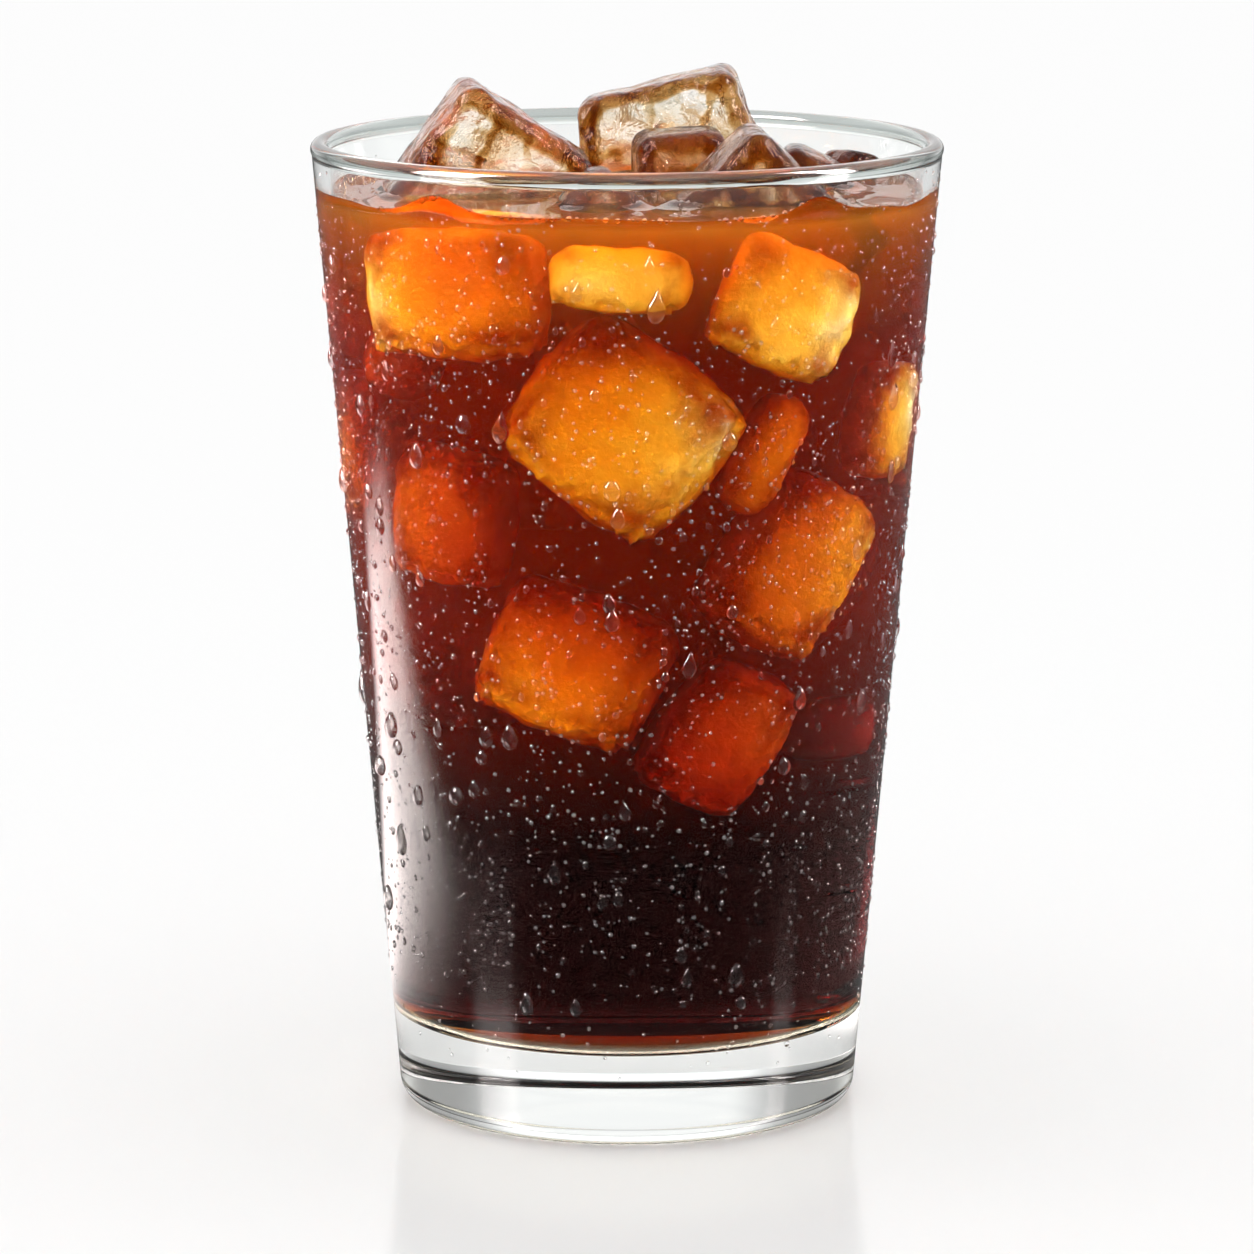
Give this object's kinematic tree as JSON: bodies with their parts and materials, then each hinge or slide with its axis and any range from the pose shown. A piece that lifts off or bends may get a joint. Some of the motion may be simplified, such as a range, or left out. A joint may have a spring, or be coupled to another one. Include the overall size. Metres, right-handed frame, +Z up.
{
  "type": "iced coffee",
  "caption": "Iced black coffee in a tapered clear tumbler with a thick base, with melting ice blocks that rise out of the surface.",
  "frame": {"origin": "on the table, at the foot of the glass's axis", "axes": "+Z up along the glass's axis; -Y faces the side with the large left ice block on the left"},
  "size_m": [0.088, 0.088, 0.1448],
  "materials": {
    "glass": "gloss",
    "coffee": "gloss",
    "ice": "gloss"
  },
  "bodies": {
    "root": {"glass": "glass", "coffee": "coffee", "ice_left": "ice", "ice_back": "ice", "ice_middle": "ice", "ice_front": "ice", "ice_wedge": "ice", "ice_right": "ice", "ice_chip": "ice"}
  },
  "joints": []
}
